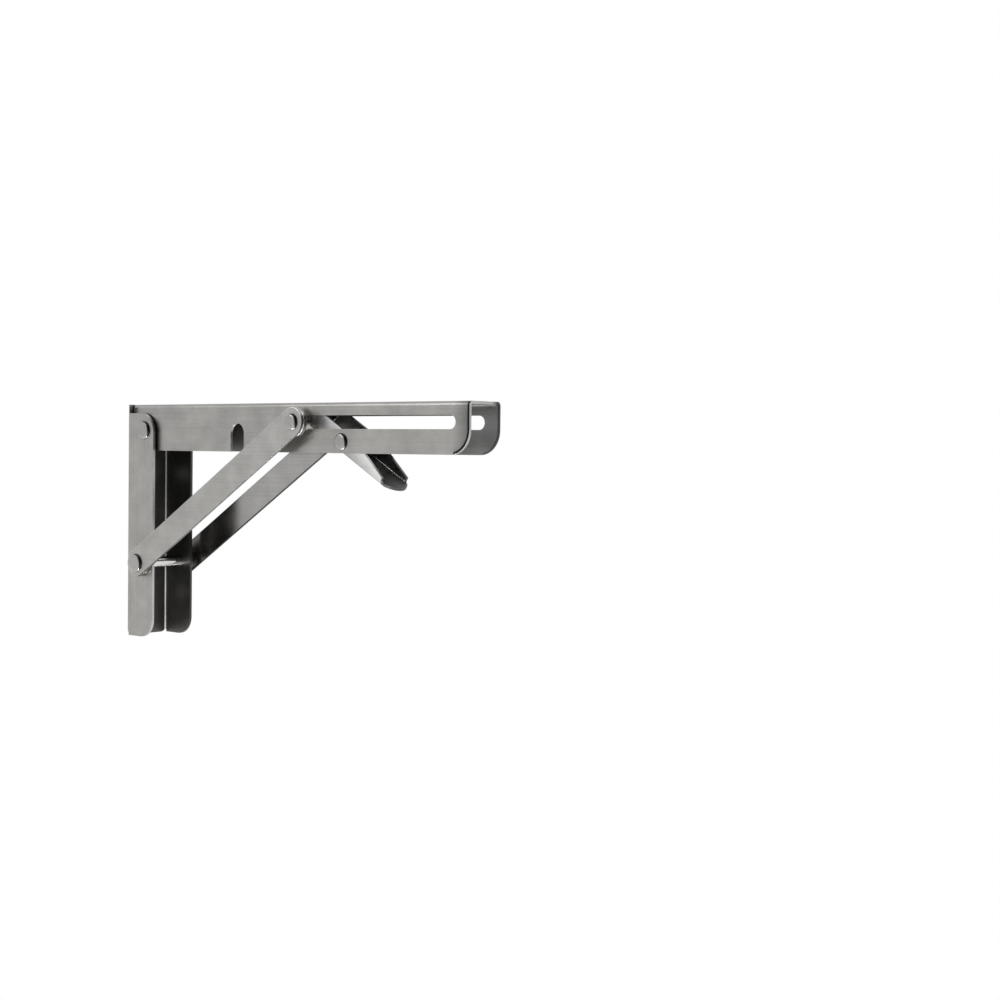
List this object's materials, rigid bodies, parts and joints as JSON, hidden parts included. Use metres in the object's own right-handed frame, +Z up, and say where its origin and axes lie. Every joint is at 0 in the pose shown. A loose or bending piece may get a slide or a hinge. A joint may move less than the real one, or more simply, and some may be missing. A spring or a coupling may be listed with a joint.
{
  "type": "folding shelf bracket",
  "caption": "Right-angle folding bracket: a channel wall arm, a hinged channel shelf arm held level by braces whose pin runs in a slot, and a sprung lever that latches the pin.",
  "frame": {"origin": "on the wall plane, halfway between the two wall screw holes and midway across the bracket", "axes": "+X straight out from the wall along the open shelf arm, +Y along the wall, +Z up"},
  "size_m": [0.351, 0.0548, 0.18],
  "materials": {
    "sheet": "satin brushed",
    "lever": "satin brushed",
    "pins": "turned",
    "spring": "drawn wire"
  },
  "bodies": {
    "wall_arm": {"wall_arm": "sheet", "fold_rivet_near": "pins", "fold_rivet_far": "pins", "fold_washer_near": "pins", "fold_washer_far": "pins", "lower_rod": "pins", "lower_spacer_near": "pins", "lower_spacer_far": "pins"},
    "shelf_arm": {"shelf_top": "sheet", "shelf_side_near": "sheet", "shelf_side_far": "sheet", "upper_pin": "pins", "lever_rod": "pins", "lever_spring": "spring"},
    "braces": {"brace_near": "sheet", "brace_far": "sheet", "upper_spacer_near": "pins", "upper_spacer_far": "pins", "upper_rivet_near": "pins", "upper_rivet_far": "pins"},
    "slider": {"slide_collar_near": "pins", "slide_collar_far": "pins"},
    "lever": {"release_lever": "lever"}
  },
  "joints": [
    {"name": "fold", "type": "hinge", "parent": "wall_arm", "child": "shelf_arm", "pos_m": [0.0206, 0, 0.0826], "axis": [0, 1, 0], "range_deg": [0, 90]},
    {"name": "brace_swing", "type": "hinge", "parent": "wall_arm", "child": "braces", "pos_m": [0.0192, 0, -0.02], "axis": [0, 1, 0], "range_deg": [0, 120]},
    {"name": "pin_slide", "type": "slide", "parent": "shelf_arm", "child": "slider", "axis": [1, 0, 0], "range_m": [0, 0.135]},
    {"name": "lever_release", "type": "hinge", "parent": "shelf_arm", "child": "lever", "pos_m": [0.23314, 0, 0.0751], "axis": [0, 1, 0], "range_deg": [-27, 0], "stiffness_Nm_per_rad": 0.15, "springref_deg": 28.65, "deforming": ["lever_spring"]}
  ],
  "couplings": [
    {"joint": "brace_swing", "follows": "fold", "ratio": 1.3321},
    {"joint": "pin_slide", "follows": "fold", "m_per_rad": 0.085956}
  ]
}
